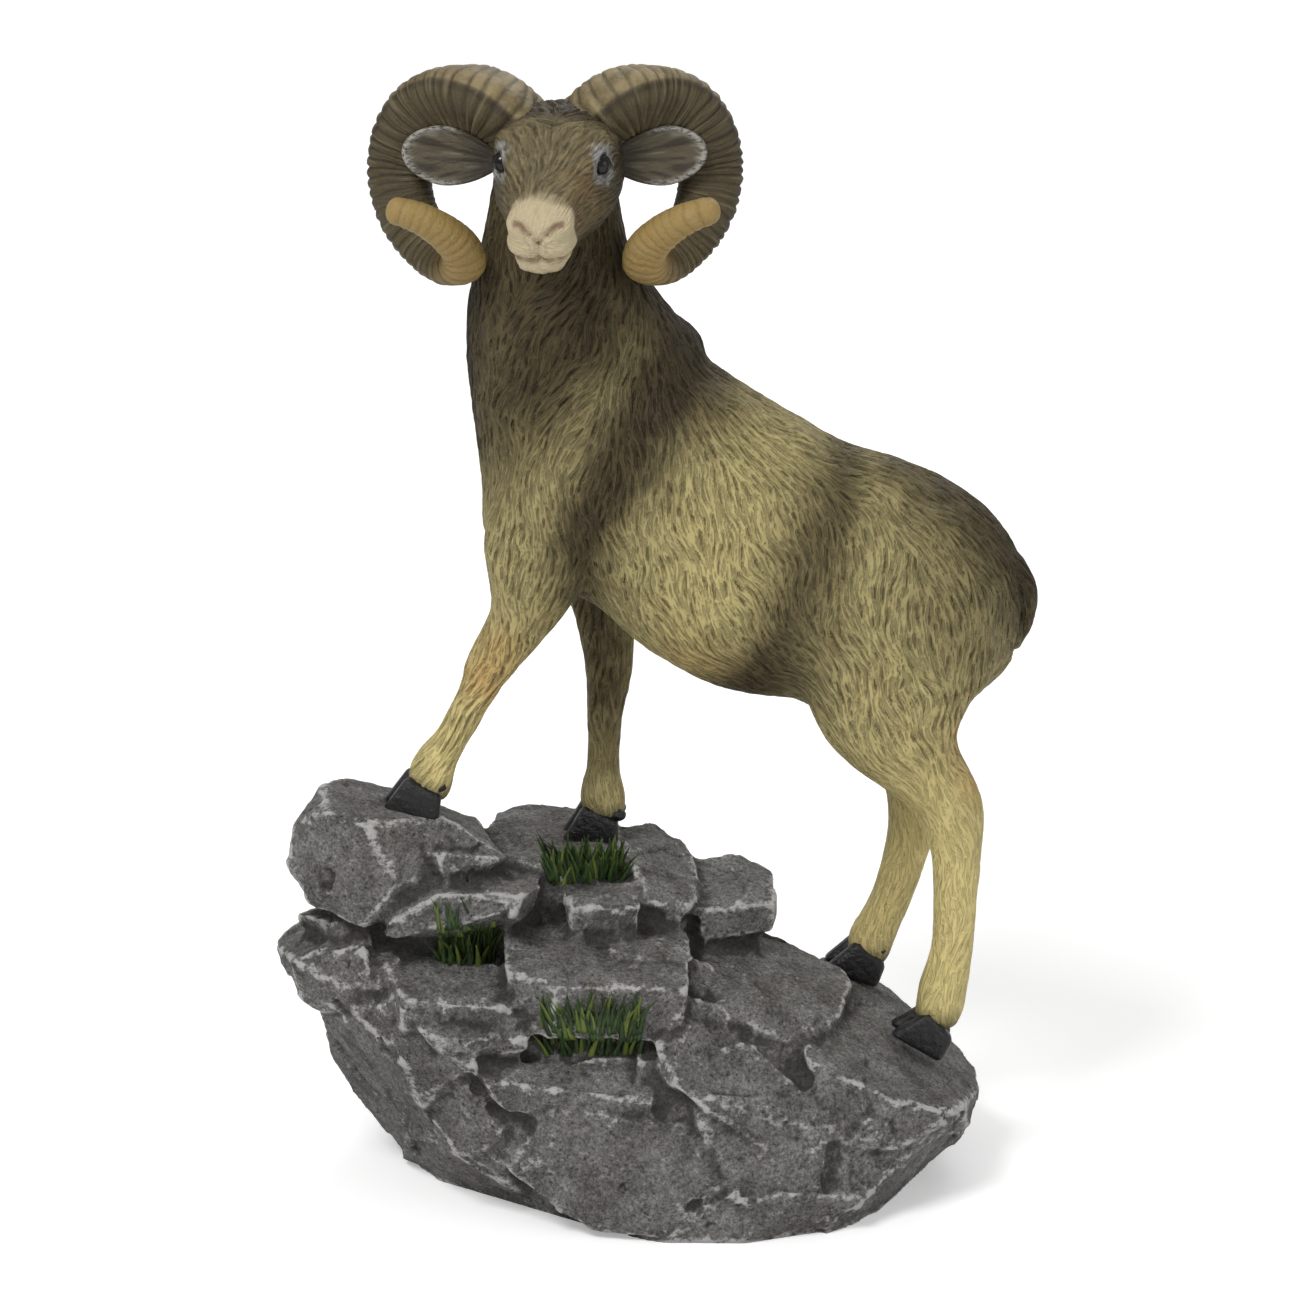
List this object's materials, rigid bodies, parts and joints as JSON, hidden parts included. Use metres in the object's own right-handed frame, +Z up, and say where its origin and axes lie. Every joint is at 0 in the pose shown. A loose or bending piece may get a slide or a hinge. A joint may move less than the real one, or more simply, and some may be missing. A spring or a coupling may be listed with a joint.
{
  "type": "animal figurine",
  "caption": "Cast figurine of a wild ram with curled horns standing on a stepped pile of broken grey rocks, with a flat underside to stand on.",
  "frame": {"origin": "middle of the bounding box at the flat underside", "axes": "+Z up, -X the way the ram's body faces, -Y the way its head looks"},
  "size_m": [0.1333, 0.0767, 0.1999],
  "materials": {
    "painted_resin": "hand-painted casting resin with a fine carved coat, dry-brushed rock edges and a satin to matt surface"
  },
  "bodies": {
    "root": {"bighorn_figurine": "painted_resin"}
  },
  "joints": []
}
